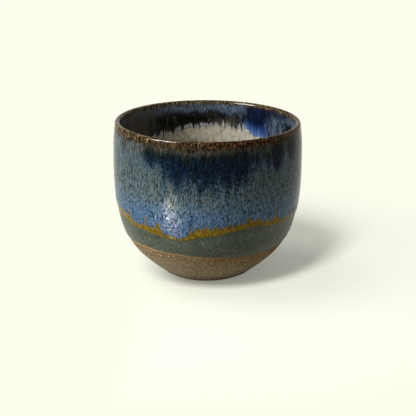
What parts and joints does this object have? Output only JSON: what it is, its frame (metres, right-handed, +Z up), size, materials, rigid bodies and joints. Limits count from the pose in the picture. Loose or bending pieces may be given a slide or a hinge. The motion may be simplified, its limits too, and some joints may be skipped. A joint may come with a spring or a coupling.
{
  "type": "espresso cup",
  "caption": "Small round espresso cup without a handle: thrown stoneware body on a turned foot, under a liner, a base glaze and a running blue glaze.",
  "frame": {"origin": "centre of the foot ring, on the surface that the cup stands on", "axes": "+Z up along the cup's axis; -Y is the pictured front, where the blue glaze has run lowest; +X is to the viewer's right"},
  "size_m": [0.066, 0.066, 0.0547],
  "materials": {
    "stoneware": "bare fired stoneware, grainy and matt, with turning marks",
    "base_glaze": "satin grey-green glaze with pale specks",
    "liner_glaze": "satin cream glaze with iron specks",
    "blue_glaze": "glossy streaked blue glaze, breaking to rust brown on the lip and to ochre along its run"
  },
  "bodies": {
    "root": {"clay_body": "stoneware", "base_glaze": "base_glaze", "liner_glaze": "liner_glaze", "blue_glaze": "blue_glaze"}
  },
  "joints": []
}
